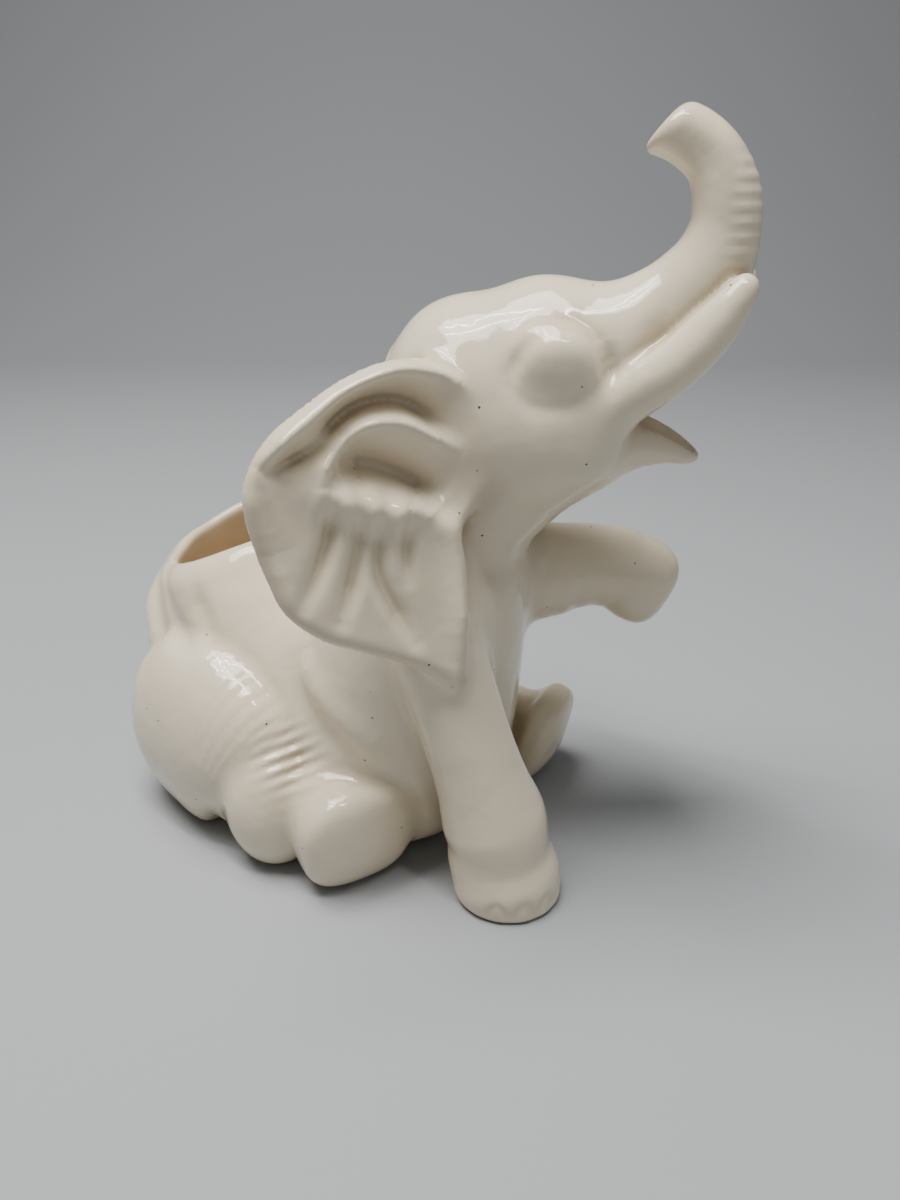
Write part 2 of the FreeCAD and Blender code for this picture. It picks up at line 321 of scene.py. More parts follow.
# Ear: a thick sheet in its own frame: e outwards and back, d downwards, n out of its face.
EAR_ROOT = np.array([-2.4, -20.0, 37.0])
EAR_FACE = np.array([0.58, -0.78, 0.24])
EAR_DOWN = np.array([0.107, -0.222, -0.969])
EAR_OUTLINE = [(-10, 5), (-4, -1), (3, -3.4), (10, -3.6), (18, -2), (26, 1.5), (34, 6.5), (42, 12.5),
               (47, 19.5), (49, 27), (47.5, 36), (44.5, 46), (41, 54), (33, 61), (24, 65), (14, 69),
               (6, 73), (0, 76.5), (-3.5, 70), (-4, 58), (-3.5, 46), (-3, 38), (-8, 32), (-12, 18)]
EAR_RIDGES = [  # line in the ear's sheet, width, height out of its face
    ([(-6, 8), (-1, 2.5), (5, 0), (12, -0.6), (19, 1.4), (26, 4.6), (33, 9.5), (39, 14), (45, 20)],
     2.9, 4.2),
    ([(44, 19), (47, 27), (46, 36)], 4.0, 1.2),
    ([(-2, 13), (4, 9), (10.5, 6), (17, 5.8), (22, 7.5), (26.5, 11), (29, 15)], 2.7, -4.4),
    ([(29, 15.5), (36, 18), (43, 20.5)], 2.2, -3.2),
    ([(-3, 19), (4.5, 14.8), (10, 12), (15.5, 11), (22, 12), (26.5, 15.5), (29.5, 20), (31, 25)], 2.7, 3.8),
    ([(26, 21.5), (20, 20), (13, 22), (7, 25.5), (3, 31)], 4.0, -7.5),
    ([(34, 26), (28, 28), (22, 30), (14, 32), (8, 31), (3, 34), (-1, 42), (-2, 56), (-1, 70)], 4.6, 4.0),
    ([(29, 26), (29.5, 34), (31.5, 41), (37, 52)], 2.2, -2.9),
    ([(22.5, 26), (22.5, 38), (25, 47), (28, 56)], 2.3, -3.0),
    ([(16, 28), (18, 40), (18, 47), (14.5, 55), (10.5, 63)], 2.3, -2.9),
    ([(10, 29), (11, 40), (11.5, 48)], 2.0, -2.2),
    ([(44, 34), (42, 44)], 4.5, -1.6),
]
EAR_HALF = 2.9  # half the sheet's thickness
EAR_EVEN = 0.8  # evens the sheet's field, which its folds make steep
EAR_EDGE = 4.5  # rounding of the sheet's edge
EAR_BOX = (-14, -8, -12), (52, 80, 12)
EAR_MARGIN = 8.0

# Swellings of the skull: centre, half sizes, blend.  Those off the middle plane are made on both sides.
SKULL_BALLS = [
    ((-3, 0, 27), (18, 20, 23), 8), ((19, 0, 36), (15, 16, 20), 8),  # back of the head, crown
    ((24, -15, 21), (15, 8.5, 12), 9), ((34, -12, 28), (9, 8, 8.5), 5),  # cheek, root of the tusk
    ((24, -17, 39), (11.5, 6.2, 10.5), 3), ((24, -18, 40.8), (8.8, 5.8, 7.4), 2.2),  # socket, closed eye
]
THROAT_BLEND = 9.0


def loop_distance(flat, loop):
    """Signed distance in a plane to a closed smooth outline, below zero inside it."""
    place, gap = along_rail(flat, spline(loop, LINE_STEPS, closed=True))
    value, run = spline_at(loop, place / LINE_STEPS, closed=True)
    off = flat - value
    return np.where(run[:, 0] * off[:, 1] - run[:, 1] * off[:, 0] > 0, -gap, gap)


def ear(head):
    """The right ear: a sheet inside an outline, bent by ridges, rims and hollows."""
    out = np.full(len(head), FAR)
    face = EAR_FACE / np.linalg.norm(EAR_FACE)
    down = EAR_DOWN / np.linalg.norm(EAR_DOWN)
    outward = np.cross(down, face)
    local = (head - EAR_ROOT) @ np.stack([outward, down, face]).T
    pick = near(local, np.array(EAR_BOX[0]), np.array(EAR_BOX[1]), EAR_MARGIN)
    q = local[pick]
    if not len(q):
        return out
    flat = q[:, :2]
    edge = loop_distance(flat, EAR_OUTLINE)
    bend = np.zeros(len(q))
    for line, width, height in EAR_RIDGES:
        rail = spline(line, LINE_STEPS)
        place, gap = along_rail(flat, rail)
        fade = np.minimum(1, 0.3 + np.minimum(place, len(rail) - 1 - place) / 5)
        bend += height * fade * np.exp(-(gap / width)**2)
    sheet = (np.abs(q[:, 2] - bend) - EAR_HALF) * EAR_EVEN
    out[pick] = smooth_max(edge, sheet, EAR_EDGE)
    return out


def rim_height(points):
    """Height of the planter's rim, which dips smoothly towards its low side."""
    drop = np.clip(((points[:, :2] - RIM) @ DIP_WAY + DIP_LEAD) / DIP_LENGTH, 0, DIP_MOST)
    return SIZES["rim"] - DIP * drop**DIP_POWER


def torso_form(points):
    """The barrel, cut at its rim, and the chest."""
    above = (points[:, 2] - rim_height(points)) * RIM_EVEN
    barrel = smooth_max(stack(points, 2, BARREL), above, RIM_ROUND)
    return smooth_min(barrel, stack(points, 2, CHEST), CHEST_BLEND)


def well_form(points):
    """The hollow of the planter, inside the barrel's wall."""
    floor = GROUND + SIZES["wall"] - points[:, 2]
    return smooth_max(stack(points, 2, BARREL) + SIZES["wall"], floor, WELL_FLOOR_ROUND)


def hind_leg(points, thigh, shank, foot, pad):
    """Thigh, bunched shank and foot with a flat sole."""
    leg = smooth_min(limb(points, thigh, SIDE), ball(points, *shank), SHANK_BLEND)
    sole = ball(points, *pad, power=FOOT_SQUARE)
    return smooth_min(leg, smooth_min(limb(points, foot, SIDE), sole, SOLE_BLEND), FOOT_BLEND)


def skull_forms(head):
    """Skull with crown, brow, cheeks, closed eyes and throat."""
    skull = stack(head, 0, SKULL)
    for (x, y, z), radii, blend in SKULL_BALLS:
        for side in (y, -y) if y else (0,):
            skull = smooth_min(skull, ball(head, (x, side, z), radii), blend)
    return smooth_min(skull, limb(head, THROAT, SIDE), THROAT_BLEND)


def trunk_form(head):
    """The trunk, cut flat and aslant at its end."""
    point, way = (np.array(v, float) for v in TRUNK_END)
    z = head[:, 2]
    end = (head - point) @ (way / np.linalg.norm(way)) - FAR * (z < TRUNK_CUT_ABOVE)
    rib = RIB_DEPTH * np.cos(2 * math.pi / RIB_SPACING * z)
    rib = rib * np.exp(-((z - RIB_MIDDLE) / RIB_REACH)**4)
    rib = rib * np.clip((head[:, 0] - RIB_FRONT) / RIB_FADE, 0, 1)
    return smooth_max(limb(head, TRUNK, SIDE) + rib, end, TRUNK_END_ROUND)


def jaw_form(head):
    """The lower jaw: a pointed scoop with a low ridge along its middle."""
    jaw = smooth_max(limb(head, JAW, SIDE), -limb(head, SCOOP, SIDE), 1.6)
    return smooth_min(jaw, limb(head, TONGUE, SIDE), 1.5)


def parts(points):
    """The separate forms, one field for each CAD node, before they are blended."""
    head = head_point(points)
    far_head = mirrored(head)
    forms = {}
    forms["torso"] = torso_form(points)
    forms["head"] = skull_forms(head)
    forms["trunk"] = trunk_form(head)
    forms["lower_jaw"] = jaw_form(head)
    forms["right_tusk"] = limb(head, TUSK, SIDE)
    forms["left_tusk"] = limb(far_head, TUSK, SIDE)
    forms["right_ear"] = ear(head)
    forms["left_ear"] = ear(far_head)
    planted_foot = limb(points, PLANTED_FOOT, SIDE)
    forms["right_foreleg"] = smooth_min(limb(points, PLANTED, SIDE), planted_foot, PLANTED_BLEND)
    raised_foot = ball(points, *RAISED_FOOT, power=FOOT_SQUARE)
    forms["left_foreleg"] = smooth_min(limb(points, RAISED, UP), raised_foot, FOOT_BLEND)
    forms["right_hind_leg"] = hind_leg(points, THIGH, SHANK, FOOT, PAD)
    forms["left_hind_leg"] = hind_leg(points, FAR_THIGH, FAR_SHANK, FAR_FOOT, FAR_PAD)
    forms["tail"] = limb(points, TAIL, SIDE)
    return forms


BLENDS = {  # how far each piece's slip joint spreads
    "head": 13, "trunk": 7, "lower_jaw": 3.5, "right_tusk": 2.2, "left_tusk": 2.2,
    "right_ear": 4, "left_ear": 4, "right_foreleg": 6, "left_foreleg": 5.5,
    "right_hind_leg": 4, "left_hind_leg": 4, "tail": 6,
}

# Creases pressed into the body: smooth line, width and depth.
BODY_CREASES = [
    ([(-56, -31, 78), (-52, -36, 72), (-47, -39, 66), (-38, -43, 62), (-26, -47, 60)], 3.2, 2.6),
    ([(-33, -36, 76), (-28, -39, 69), (-21, -41, 63)], 3.5, 1.4),
    ([(9, -32, 66), (13, -34, 60), (18, -35, 56), (25, -34.5, 51), (32, -32, 46), (38, -29, 40)],
     4.5, -1.8),
    ([(3, -35, 66), (7, -37, 58), (12, -38, 52), (19, -37, 45), (26, -35, 40)], 4.5, 1.6),
]
HEAD_CREASES = [  # lines seen from the side, pressed into both sides of the head
    ([(14.5, 36), (17, 42), (21.5, 47), (27, 48.3), (32, 46), (35, 41.5)], 2.0, 0.7),
    ([(16.5, 33), (22, 30.5), (28, 31.5), (33, 35.5)], 2.2, 0.5),
    ([(36, 45), (36.5, 40), (38, 35)], 2.4, 0.8),
    ([(46, 87.5), (51, 84), (55.5, 78.5)], 3.0, 0.9),
]
NAIL_TURNS = (-62, -34, -6)  # the planted foot's toenails, turned about its middle
NAIL_FOOT, NAIL_RADIUS = (67, -12.5), 15.3
NAIL = [(-11, 1.5), (-8, 4.5), (0, 6.5), (8, 4.5), (11, 1.5)]  # turn from the nail's middle, and height
NAIL_WIDTH, NAIL_DEPTH = 1.5, 0.5
FLANK_FROM, FLANK_FADE = 3, 4  # creases on the head grow from this far off its middle plane
WRINKLES = [  # centre, way across them, spacing, reach, depth
    ((13, -44, 37), (0.6, -0.14, -0.79), 3.6, 7.5, 0.5),
    ((57, 32, 75), (0.72, 0.69, 0), 6.5, 8, 0.3),
]


def nail_arch(turn):
    """The line round one toenail of the planted foot."""
    arch = []
    for side, z in NAIL:
        a = math.radians(turn + side)
        arch.append((NAIL_FOOT[0] + NAIL_RADIUS * math.cos(a), NAIL_FOOT[1] + NAIL_RADIUS * math.sin(a), z))
    return arch


def clay(points):
    """The whole figure's field: below zero in the clay."""
    forms = parts(points)
    value = forms["torso"]
    for name, blend in BLENDS.items():
        value = smooth_min(value, forms[name], blend)
    for line, width, depth in BODY_CREASES:
        value = value + crease(points, line, width, depth)
    for row in WRINKLES:
        value = value + wrinkles(points, *row)
    for turn in NAIL_TURNS:
        value = value + crease(points, nail_arch(turn), NAIL_WIDTH, NAIL_DEPTH)
    head = head_point(points)
    flank = np.clip((np.abs(head[:, 1]) - FLANK_FROM) / FLANK_FADE, 0, 1)
    for line, width, depth in HEAD_CREASES:
        value = value + flank * crease(head * (1, 0, 1), [(x, 0, z) for x, z in line], width, depth)
    value = smooth_max(value, -well_form(points), LIP_ROUND)
    return smooth_max(value, GROUND - points[:, 2], SEAT_ROUND)


CHUNK = 40000  # points worked out at once


def in_chunks(work, points):
    """A function of points worked out on several groups of them at once."""
    groups = np.array_split(points, max(1, len(points) // CHUNK))
    with ThreadPoolExecutor() as pool:
        return list(pool.map(work, groups))


def clay_field(points):
    """The figure's field at many points."""
    return np.concatenate(in_chunks(clay, points))


def part_fields(points):
    """Each piece's own field at many points."""
    found = in_chunks(parts, points)
    return {name: np.concatenate([group[name] for group in found]) for name in found[0]}


# Skin ---------------------------------------------------------------------------------------------

GRID_RATIO = 4  # spacing of the coarse grid over that of the fine one
GRID_BAND = 3.0  # coarse steps of the field's value that count as near the surface
GRID_MARGIN = 6  # how far the grid goes past the CAD box, mm


def grid_values(low, shape, step):
    """The field on a grid: everywhere on a coarse one, and on the fine one only near the surface."""
    ratio = GRID_RATIO
    coarse_shape = [n // ratio + 2 for n in shape]
    axes = [low[k] + step * ratio * np.arange(coarse_shape[k]) for k in range(3)]
    places = np.stack(np.meshgrid(*axes, indexing="ij"), -1).reshape(-1, 3)
    coarse = clay_field(places).reshape(coarse_shape)
    fine = coarse.repeat(ratio, 0).repeat(ratio, 1).repeat(ratio, 2)[:shape[0], :shape[1], :shape[2]]
    band = np.abs(coarse) < GRID_BAND * ratio * step
    for axis in range(3):
        band = band | np.roll(band, 1, axis) | np.roll(band, -1, axis)
    band = band.repeat(ratio, 0).repeat(ratio, 1).repeat(ratio, 2)[:shape[0], :shape[1], :shape[2]]
    index = np.argwhere(band)
    fine[band] = clay_field(low + step * index)
    return fine


def surface_net(values, low, step):
    """Surface net: one point in each cell that the surface crosses, and a quad across each such edge."""
    inside = values < 0
    cells = np.zeros([n - 1 for n in values.shape], np.uint8)
    corners = [(i, j, k) for i in (0, 1) for j in (0, 1) for k in (0, 1)]

    def corner(array, at):
        return array[tuple(slice(a, a + n) for a, n in zip(at, cells.shape))]

    for at in corners:
        cells += corner(inside, at)
    cut = np.argwhere((cells > 0) & (cells < 8))
    number = np.full(cells.shape, -1)
    number[tuple(cut.T)] = np.arange(len(cut))
    total, count = np.zeros((len(cut), 3)), np.zeros(len(cut))
    for a in corners:
        for axis in range(3):
            if a[axis]:
                continue
            b = np.array(a)
            b[axis] = 1
            va, vb = values[tuple((cut + a).T)], values[tuple((cut + b).T)]
            crossed = (va < 0) != (vb < 0)
            t = np.where(crossed, va / np.where(crossed, va - vb, 1.0), 0.0)
            place = cut + a + t[:, None] * (b - a)
            total += np.where(crossed[:, None], place, 0.0)
            count += crossed
    points = low + step * total / count[:, None]
    quads = []
    for axis in range(3):
        u, v = (axis + 1) % 3, (axis + 2) % 3
        first = [slice(None)] * 3
        second = [slice(None)] * 3
        first[axis], second[axis] = slice(None, -1), slice(1, None)
        change = inside[tuple(first)] != inside[tuple(second)]
        edge = np.argwhere(change)
        edge = edge[(edge[:, u] > 0) & (edge[:, v] > 0)]
        edge = edge[(edge[:, u] < cells.shape[u]) & (edge[:, v] < cells.shape[v])]
        shifts = np.zeros((4, 3), int)
        shifts[1, u] = shifts[2, u] = shifts[2, v] = shifts[3, v] = -1
        ring = np.stack([number[tuple((edge + s).T)] for s in shifts], axis=1)
        flip = ~inside[tuple(edge.T)]
        ring[flip] = ring[flip][:, ::-1]
        quads.append(ring)
    return points, np.vstack(quads)


def slope(points, reach=0.05):
    """The field's slope, from values a little to each side of every point."""
    columns = []
    for axis in range(3):
        shift = np.zeros(3)
        shift[axis] = reach
        columns.append((clay_field(points + shift) - clay_field(points - shift)) / (2 * reach))
    return np.stack(columns, axis=1)


def settle(points, limit):
    """Points moved along the slope to the zero surface."""
    gradient = slope(points)
    square = np.square(gradient).sum(1) + 1e-6
    move = clay_field(points)[:, None] * gradient / square[:, None]
    length = np.linalg.norm(move, axis=1)[:, None] + 1e-9
    return points - move * np.minimum(1, limit / length)


def clip_faces(points, normals, faces, keep):
    """Triangles split along the zero line of a value at each point; both sides are returned."""
    side = keep[faces] < 0
    inside = faces[side.all(1)]
    outside = faces[~side.any(1)]
    mixed = faces[side.any(1) & ~side.all(1)]
    if not len(mixed):
        return points, normals, inside, outside, keep
    signs = keep[mixed] < 0
    lone_inside = signs.sum(1) == 1
    lone = np.where(lone_inside, signs.argmax(1), (~signs).argmax(1))
    row = np.arange(len(mixed))
    a, b, c = mixed[row, lone], mixed[row, (lone + 1) % 3], mixed[row, (lone + 2) % 3]
    keys = np.sort(np.vstack([np.stack([a, b], 1), np.stack([a, c], 1)]), axis=1)
    unique, back = np.unique(keys, axis=0, return_inverse=True)
    back = back.reshape(-1)
    ka, kb = keep[unique[:, 0]], keep[unique[:, 1]]
    t = (ka / (ka - kb))[:, None]
    fresh = points[unique[:, 0]] * (1 - t) + points[unique[:, 1]] * t
    fresh_normals = normals[unique[:, 0]] * (1 - t) + normals[unique[:, 1]] * t
    start = len(points)
    ab, ac = start + back[:len(mixed)], start + back[len(mixed):]
    tip = np.stack([a, ab, ac], 1)
    base = np.vstack([np.stack([ab, b, c], 1), np.stack([ab, c, ac], 1)])
    twice = np.tile(lone_inside, 2)
    inside = np.vstack([inside, tip[lone_inside], base[~twice]])
    outside = np.vstack([outside, tip[~lone_inside], base[twice]])
    points = np.vstack([points, fresh])
    normals = np.vstack([normals, fresh_normals])
    return points, normals, inside, outside, np.concatenate([keep, np.zeros(len(fresh))])


CAP_SINK = 1.2  # how deep in the clay a cap is kept, mm
CAP_RINGS = (0.04, 0.15, 0.4, 0.7)  # shares of the way from a rim to the middle of its cap


def sunk(points):
    """Points moved along the slope until they are as deep in the clay as caps are kept."""
    for _ in range(3):
        gradient = slope(points)
        over = np.maximum(clay_field(points) + CAP_SINK, 0) / (np.square(gradient).sum(1) + 1e-6)
        points = points - over[:, None] * gradient
    return points


def cap_rims(points, normals, faces):
    """Closes each open rim of a piece with rings that stay inside the clay and a point in their middle."""
    directed = np.vstack([faces[:, [0, 1]], faces[:, [1, 2]], faces[:, [2, 0]]])
    _, first, count = np.unique(np.sort(directed, axis=1), axis=0, return_index=True, return_counts=True)
    rim = directed[first[count == 1]]
    if not len(rim):
        return points, normals, faces
    label = np.arange(len(points))
    while True:  # rims are told apart by spreading the lowest number along them
        low = np.minimum(label[rim[:, 0]], label[rim[:, 1]])
        before = label.copy()
        np.minimum.at(label, rim[:, 0], low)
        np.minimum.at(label, rim[:, 1], low)
        if (label == before).all():
            break
    edge, ends = np.unique(rim, return_inverse=True)
    ends = ends.reshape(-1, 2)
    _, home = np.unique(label[edge], return_inverse=True)
    weight = np.bincount(home)
    middle = np.stack([np.bincount(home, points[edge, k]) for k in range(3)], 1) / weight[:, None]
    rings = [points[edge] * (1 - share) + middle[home] * share for share in CAP_RINGS]
    fresh = sunk(np.vstack([*rings, middle]))
    places = [edge] + [len(points) + len(edge) * k + np.arange(len(edge)) for k in range(len(rings))]
    for outer, inner in zip(places, places[1:]):
        a, b, c, d = outer[ends[:, 0]], outer[ends[:, 1]], inner[ends[:, 0]], inner[ends[:, 1]]
        faces = np.vstack([faces, np.stack([b, a, c], 1), np.stack([b, c, d], 1)])
    last = places[-1]
    tip = len(points) + len(edge) * len(rings) + home[ends[:, 0]]
    faces = np.vstack([faces, np.stack([last[ends[:, 1]], last[ends[:, 0]], tip], 1)])
    inward = np.vstack([normals[edge]] * len(rings) + [np.tile([0.0, 0.0, 1.0], (len(middle), 1))])
    return np.vstack([points, fresh]), np.vstack([normals, inward]), faces


WELL_SKIN = 1.2  # how thick a layer round the well always belongs to the torso, mm


def claimed_fields(points):
    """Each piece's own field, with the torso's put lowest at the well's surface."""
    values = part_fields(points)
    values["torso"] = np.minimum(values["torso"], 10 * (well_form(points) - WELL_SKIN))
    return values


@lru_cache(maxsize=1)
def skin_pieces(sizes):
    """The zero surface, cut where one form gives way to the next: points, normals and faces by node.

    sizes are the values of SIZES, which the forms read, so that a changed size gives a new skin.
    """
    low, high = (np.array(corner) / MM for corner in CAD_BOUNDS)
    step = SIZES["step"] * 1.0
    low, high = low - GRID_MARGIN, high + GRID_MARGIN
    shape = [int(math.ceil(n)) for n in (high - low) / step]
    points, quads = surface_net(grid_values(low, shape, step), low, step)
    for limit in (step, step / 2):
        points = settle(points, limit)
    normals = slope(points)
    normals /= np.linalg.norm(normals, axis=1)[:, None] + 1e-9
    faces = np.vstack([quads[:, [0, 1, 2]], quads[:, [0, 2, 3]]])
    values = claimed_fields(points)
    rest = list(values)
    pieces = {}
    for name in sorted(rest, key=lambda n: n == "torso"):
        if name == "torso":
            inside = faces
        else:
            others = np.min([values[other] for other in rest if other != name], axis=0)
            keep = values[name] - others
            count = len(points)
            points, normals, inside, faces, _ = clip_faces(points, normals, faces, keep)
            if len(points) > count:
                fresh = claimed_fields(points[count:])
                for other in rest:
                    values[other] = np.concatenate([values[other], fresh[other]])
        used, back = np.unique(inside, return_inverse=True)
        pieces[name] = cap_rims(points[used], normals[used], back.reshape(-1, 3))
    return pieces


BARE_EDGE, BARE_FADE = 0.8, 1.2  # how far from the well the bare clay ends, and over what length, mm
CREASE_SHADE_REACH = 2.5  # how far out of the surface the air is looked at, mm
CREASE_SHADE_OPEN, CREASE_SHADE_SPAN = 0.93, 0.5  # rise of the field over that reach at which the painted crease shade starts, and its span


def piece_object(name, points, normals, faces, material):
    """One mesh object, smooth across its seams because its normals are the field's own.

    Two masks go with it: bare, inside the well, and pool, a painted shade mask that is highest where the
    clay close by folds in.
    """
    bare = np.clip(0.5 + (BARE_EDGE - well_form(points)) / BARE_FADE, 0, 1) * (name == "torso")
    # Painted shade: the pool mask grows where the clay close by folds in, and darkens the glaze there.
    open_air = clay_field(points + CREASE_SHADE_REACH * normals) / CREASE_SHADE_REACH
    pool = np.clip((CREASE_SHADE_OPEN - open_air) / CREASE_SHADE_SPAN, 0, 1)
    mesh = bpy.data.meshes.new(name)
    mesh.vertices.add(len(points))
    mesh.vertices.foreach_set("co", (points * MM).ravel())
    mesh.loops.add(faces.size)
    mesh.loops.foreach_set("vertex_index", faces.ravel())
    mesh.polygons.add(len(faces))
    mesh.polygons.foreach_set("loop_start", np.arange(0, faces.size, 3))
    mesh.polygons.foreach_set("loop_total", np.full(len(faces), 3))
    mesh.update(calc_edges=True)
    mesh.shade_smooth()
    mesh.normals_split_custom_set_from_vertices(normals)
    # The pool attribute carries the painted crease shade mask.
    for label, mask in (("bare", bare), ("pool", pool)):
        mesh.attributes.new(label, "FLOAT", "POINT").data.foreach_set("value", mask.astype(np.float32))
    mesh.materials.append(material)
    piece = bpy.data.objects.new(name, mesh)
    bpy.context.scene.collection.objects.link(piece)
    return piece


# Finishes -------------------------------------------------------------------------------------------

def add_node(tree, kind, place, settings=(), **inputs):
    """A node at a place, with settings on the node and values on its sockets by name."""
    node = tree.nodes.new(kind)
    node.location = place
    for key, value in settings:
        setattr(node, key, value)
    for key, value in inputs.items():
        node.inputs[key.replace("_", " ")].default_value = value
    return node


SPECK_SHARE = 0.45  # share of the cells that have no speck
SPECKS, CLOUDS, RIPPLES = 140.0, 26.0, 85.0  # per metre
CLAY_ROUGHNESS = 0.78
GLAZE_IOR = 1.5


def kiln_marks_group():
    """Group of the marks that firing leaves: pinhole specks, cloudy patches and a slow ripple."""
    tree = bpy.data.node_groups.new("kiln marks", "ShaderNodeTree")
    for name, kind in (("Position", "NodeSocketVector"), ("Specks per metre", "NodeSocketFloat"),
                       ("Speck size", "NodeSocketFloat"), ("Clouds per metre", "NodeSocketFloat"),
                       ("Ripples per metre", "NodeSocketFloat")):
        tree.interface.new_socket(name=name, in_out="INPUT", socket_type=kind)
    for name in ("Specks", "Clouds", "Ripple"):
        tree.interface.new_socket(name=name, in_out="OUTPUT", socket_type="NodeSocketFloat")
    link = tree.links.new
    inside = add_node(tree, "NodeGroupInput", (-800, 0))
    outside = add_node(tree, "NodeGroupOutput", (500, 0))
    cells = add_node(tree, "ShaderNodeTexVoronoi", (-560, 260), [("feature", "F1")], Randomness=1.0)
    link(inside.outputs["Position"], cells.inputs["Vector"])
    link(inside.outputs["Specks per metre"], cells.inputs["Scale"])
    dot = add_node(tree, "ShaderNodeMath", (-340, 260), [("operation", "LESS_THAN")])
    link(cells.outputs["Distance"], dot.inputs[0])
    link(inside.outputs["Speck size"], dot.inputs[1])
    tone = add_node(tree, "ShaderNodeSeparateColor", (-340, 420))
    link(cells.outputs["Color"], tone.inputs["Color"])
    some = add_node(tree, "ShaderNodeMath", (-160, 420), [("operation", "GREATER_THAN")])
    link(tone.outputs["Red"], some.inputs[0])
    some.inputs[1].default_value = SPECK_SHARE
    specks = add_node(tree, "ShaderNodeMath", (40, 300), [("operation", "MULTIPLY")])
    link(dot.outputs[0], specks.inputs[0])
    link(some.outputs[0], specks.inputs[1])
    link(specks.outputs[0], outside.inputs["Specks"])
    for row, (scale, out) in enumerate((("Clouds per metre", "Clouds"), ("Ripples per metre", "Ripple"))):
        noise = add_node(tree, "ShaderNodeTexNoise", (-340, -60 - 240 * row), Detail=2.0, Roughness=0.5)
        link(inside.outputs["Position"], noise.inputs["Vector"])
        link(inside.outputs[scale], noise.inputs["Scale"])
        link(noise.outputs["Fac"], outside.inputs[out])
    return tree


def mix_colour(tree, place, blend, factor, first, second):
    """A colour mix whose factor and colours are sockets or plain values."""
    node = add_node(tree, "ShaderNodeMix", place, [("data_type", "RGBA"), ("blend_type", blend)])
    for socket, value in ((node.inputs[0], factor), (node.inputs[6], first), (node.inputs[7], second)):
        if isinstance(value, bpy.types.NodeSocket):
            tree.links.new(value, socket)
        else:
            socket.default_value = value
    return node.outputs[2]


def mix_value(tree, place, factor, first, second):
    """A value mixed between two plain numbers by a mask."""
    node = add_node(tree, "ShaderNodeMapRange", place, To_Min=first, To_Max=second)
    tree.links.new(factor, node.inputs["Value"])
    return node.outputs["Result"]


def glaze_material():
    """Creamy white glaze, with painted shade in the creases, over fired clay that is bare inside the well.
    """
    name = "glazed ceramic"
    if name in bpy.data.materials:
        return bpy.data.materials[name]
    look = bpy.context.scene.elephant_glaze
    material = bpy.data.materials.new(name)
    material.use_nodes = True
    tree = material.node_tree
    link = tree.links.new
    shader = tree.nodes["Principled BSDF"]
    place = add_node(tree, "ShaderNodeTexCoord", (-1400, 0)).outputs["Object"]
    marks = add_node(tree, "ShaderNodeGroup", (-1180, 0))
    marks.node_tree = kiln_marks_group()
    link(place, marks.inputs["Position"])
    for socket, value in (("Specks per metre", SPECKS), ("Speck size", look.speck_size),
                          ("Clouds per metre", CLOUDS), ("Ripples per metre", RIPPLES)):
        marks.inputs[socket].default_value = value
    bare = add_node(tree, "ShaderNodeAttribute", (-1180, -320), [("attribute_name", "bare")]).outputs["Fac"]
    # The pool attribute is the painted crease shade mask.
    pool = add_node(tree, "ShaderNodeAttribute", (-1180, -520), [("attribute_name", "pool")]).outputs["Fac"]
    cloudy = mix_colour(tree, (-900, 300), "MIX", marks.outputs["Clouds"], (*look.cool, 1), (*look.warm, 1))
    # Painted shade: a darker colour mixed in where the pool mask marks creases.
    painted_crease_shade = mix_colour(tree, (-700, 240), "MIX", pool, cloudy, (*look.painted_crease_shade, 1))
    specked = mix_colour(tree, (-500, 200), "MIX", marks.outputs["Specks"], painted_crease_shade, (*look.speck, 1))
    colour = mix_colour(tree, (-300, 160), "MIX", bare, specked, (*look.clay, 1))
    link(colour, shader.inputs["Base Color"])
    link(mix_value(tree, (-500, -120), bare, look.roughness, CLAY_ROUGHNESS), shader.inputs["Roughness"])
    shader.inputs["IOR"].default_value = GLAZE_IOR
    bump = add_node(tree, "ShaderNodeBump", (-300, -560), Strength=1.0, Distance=look.ripple)
    link(marks.outputs["Ripple"], bump.inputs["Height"])
    link(bump.outputs["Normal"], shader.inputs["Normal"])
    return material


def plain_material(name, colour, roughness):
    """One colour and one roughness."""
    material = bpy.data.materials.new(name)
    material.use_nodes = True
    shader = material.node_tree.nodes["Principled BSDF"]
    shader.inputs["Base Color"].default_value = (*colour, 1)
    shader.inputs["Roughness"].default_value = roughness
    return material


# Pieces and stage -----------------------------------------------------------------------------------

def build_pieces(nodes):
    """The named CAD nodes' pieces, cut from the one skin and put in their places."""
    form = bpy.context.scene.elephant_form
    SIZES.update(wall=form.wall / MM, rim=form.rim_height / MM, step=form.grid_step / MM)
    skin = skin_pieces(tuple(SIZES.values()))
    for name in nodes:
        if name not in skin or not len(skin[name][2]):
            raise RuntimeError(f"the skin has no faces for {name}")
        piece = piece_object(name, *skin[name], glaze_material())
        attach(piece, "root")
        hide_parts(name)


SWEEP_ROWS = 12, 24, 8  # rows of points on the floor, round the bend and up the wall
SWEEP_COLUMNS = 24
SWEEP_BACK = 0.45  # share of the floor's half width at which it starts to bend


